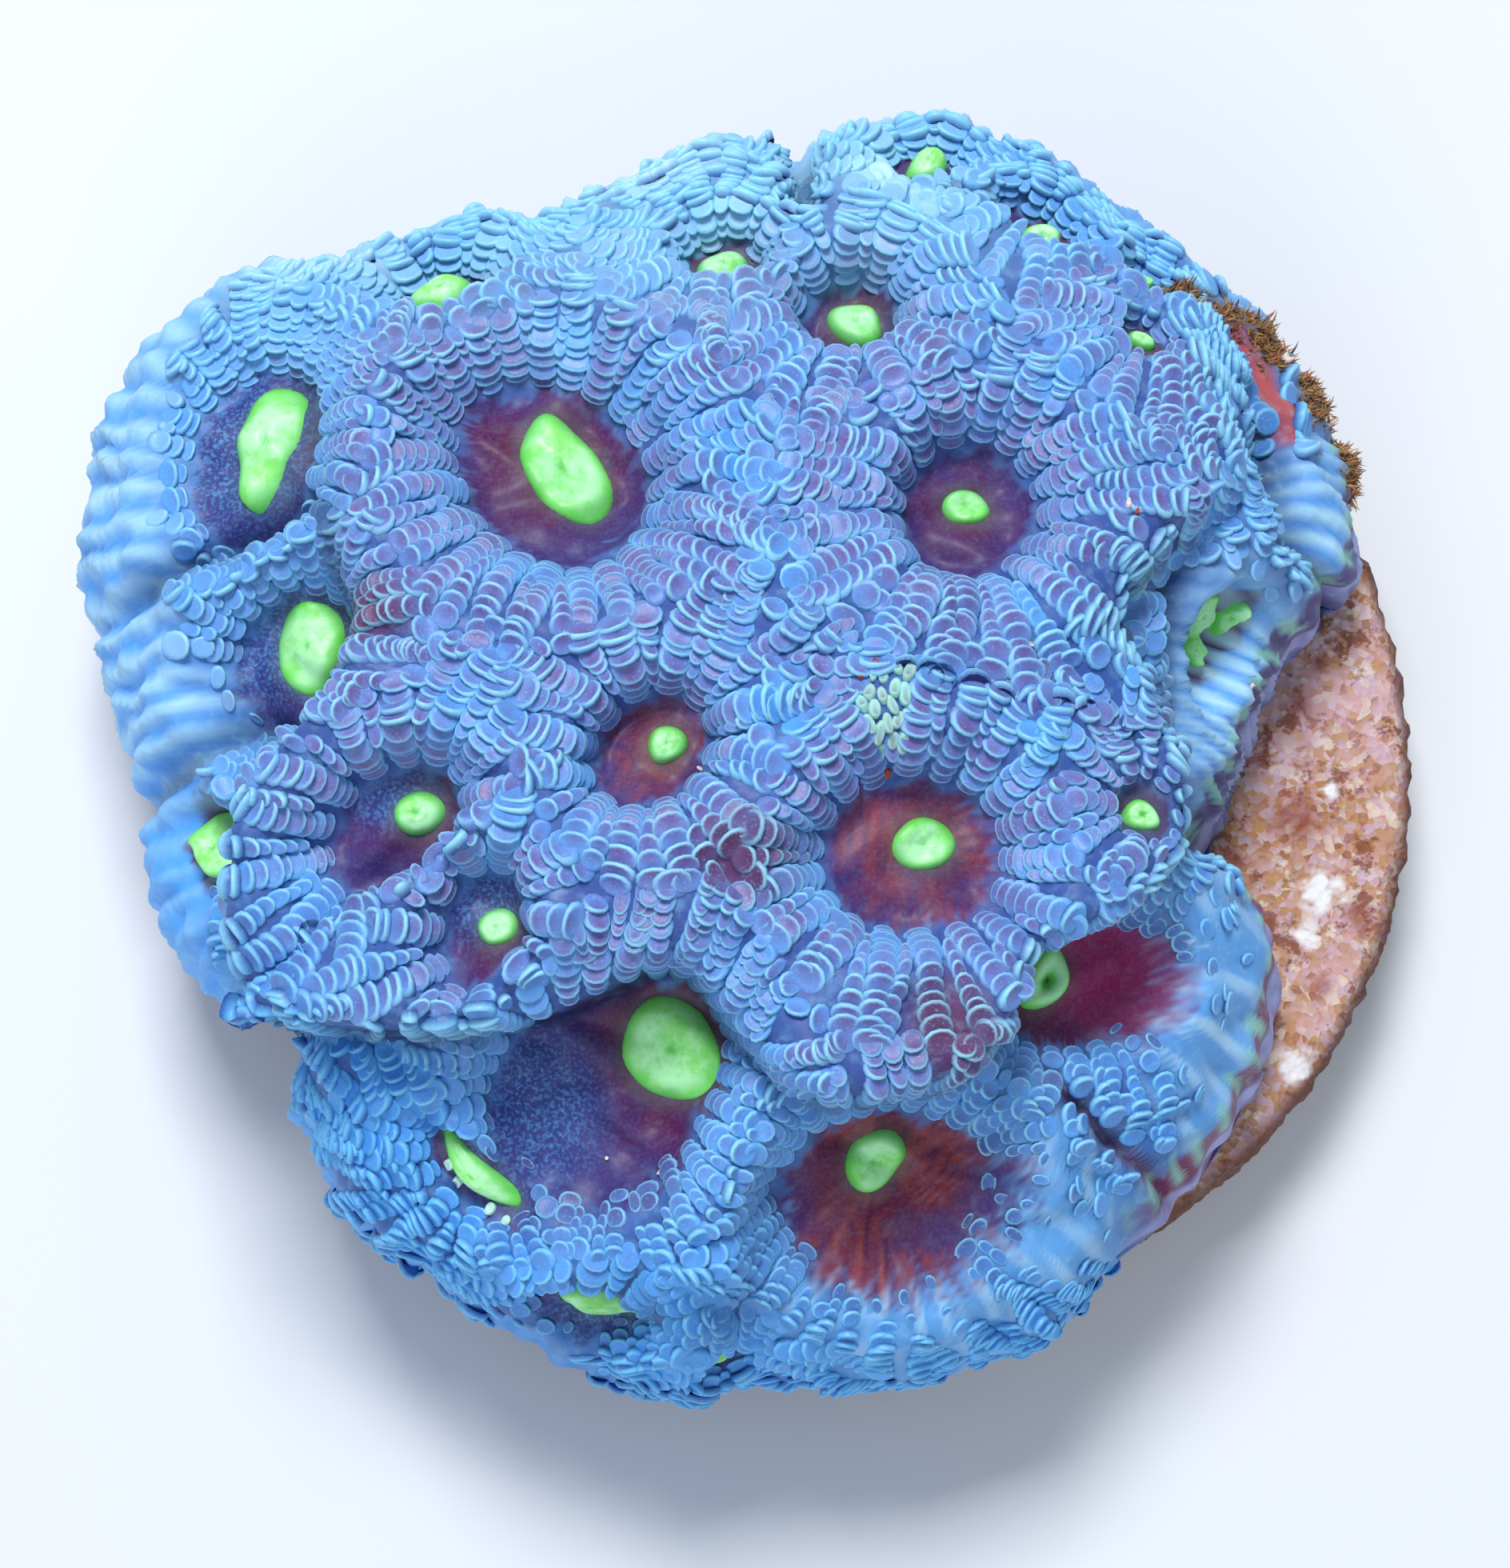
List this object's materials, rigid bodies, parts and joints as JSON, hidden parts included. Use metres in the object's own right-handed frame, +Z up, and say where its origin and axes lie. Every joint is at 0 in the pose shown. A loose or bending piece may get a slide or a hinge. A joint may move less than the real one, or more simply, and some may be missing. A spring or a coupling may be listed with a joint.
{
  "type": "brain coral",
  "caption": "Live brain coral colony, domed and overgrowing a round ceramic disc, with ribbed walls, deep valleys and fleshy mouths.",
  "frame": {"origin": "centre of the ceramic disc's flat underside, on the surface it stands on", "axes": "+Z up out of the disc; -Y towards the side with the low front calyces; the disc's bare crescent is on +X"},
  "size_m": [0.0364, 0.0353, 0.0167],
  "materials": {
    "flesh": "moist living tissue, blue lavender with maroon valleys",
    "ceramic": "rough unglazed ceramic with a tan and pink crust"
  },
  "bodies": {
    "root": {"coral": "flesh", "disc": "ceramic"}
  },
  "joints": []
}
